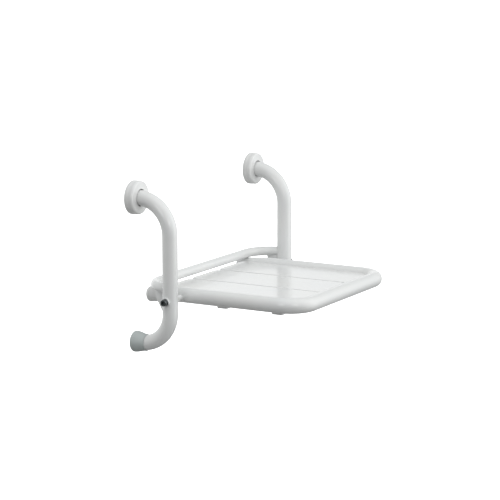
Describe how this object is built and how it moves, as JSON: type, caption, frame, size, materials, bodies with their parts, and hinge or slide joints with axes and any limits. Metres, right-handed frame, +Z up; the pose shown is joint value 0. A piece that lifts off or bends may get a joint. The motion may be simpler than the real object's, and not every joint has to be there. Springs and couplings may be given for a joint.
{
  "type": "wall-mounted folding shower seat",
  "caption": "Wall-mounted folding shower seat: a slatted seat in a bent tube hoop that pivots between two bent tube brackets joined by a tie bar.",
  "frame": {"origin": "on the wall plane, midway between the two upper wall plates, at the height of the upper stubs", "axes": "+X out of the wall, +Y along the wall, from the left bracket to the right one, +Z up"},
  "size_m": [0.3715, 0.554, 0.3556],
  "materials": {
    "painted_tube": "white powder coat, smooth semi-gloss",
    "white_moulding": "white moulded plastic, satin gloss",
    "buffer_moulding": "off-white soft plastic, satin",
    "nylon": "natural nylon",
    "dark_chrome": "polished plated steel",
    "bare_steel": "stainless steel, fine turned finish"
  },
  "bodies": {
    "frame": {"bracket_tube_left": "painted_tube", "bracket_tube_right": "painted_tube", "wall_plate_left": "painted_tube", "wall_plate_right": "painted_tube", "wall_buffer_left": "buffer_moulding", "wall_buffer_right": "buffer_moulding", "tie_bar": "painted_tube", "gusset_left": "painted_tube", "gusset_right": "painted_tube", "upright_boss_left": "painted_tube", "upright_boss_right": "painted_tube", "bearing_bush_left": "nylon", "bearing_bush_right": "nylon", "bolt_saddle_left": "white_moulding", "bolt_saddle_right": "white_moulding", "thrust_washer_left": "nylon", "thrust_washer_right": "nylon"},
    "seat": {"seat_hoop": "painted_tube", "rail_cap_left": "white_moulding", "rail_cap_right": "white_moulding", "rail_boss_left": "painted_tube", "rail_boss_right": "painted_tube", "pivot_bolt_left": "dark_chrome", "pivot_bolt_right": "dark_chrome", "bolt_washer_left": "bare_steel", "bolt_washer_right": "bare_steel", "front_cross_bar": "painted_tube", "rear_cross_bar": "painted_tube", "slat_left": "white_moulding", "slat_middle": "white_moulding", "slat_right": "white_moulding", "slat_screws": "bare_steel"},
    "cover_left": {"wall_cover_left": "white_moulding"},
    "cover_right": {"wall_cover_right": "white_moulding"}
  },
  "joints": [
    {"name": "seat_fold", "type": "hinge", "parent": "frame", "child": "seat", "pos_m": [0.087, 0, -0.2063], "axis": [0, -1, 0], "range_deg": [0, 104.5]},
    {"name": "cover_left_slide", "type": "slide", "parent": "frame", "child": "cover_left", "axis": [1, 0, 0], "range_m": [0, 0.005]},
    {"name": "cover_right_slide", "type": "slide", "parent": "frame", "child": "cover_right", "axis": [1, 0, 0], "range_m": [0, 0.005]}
  ]
}
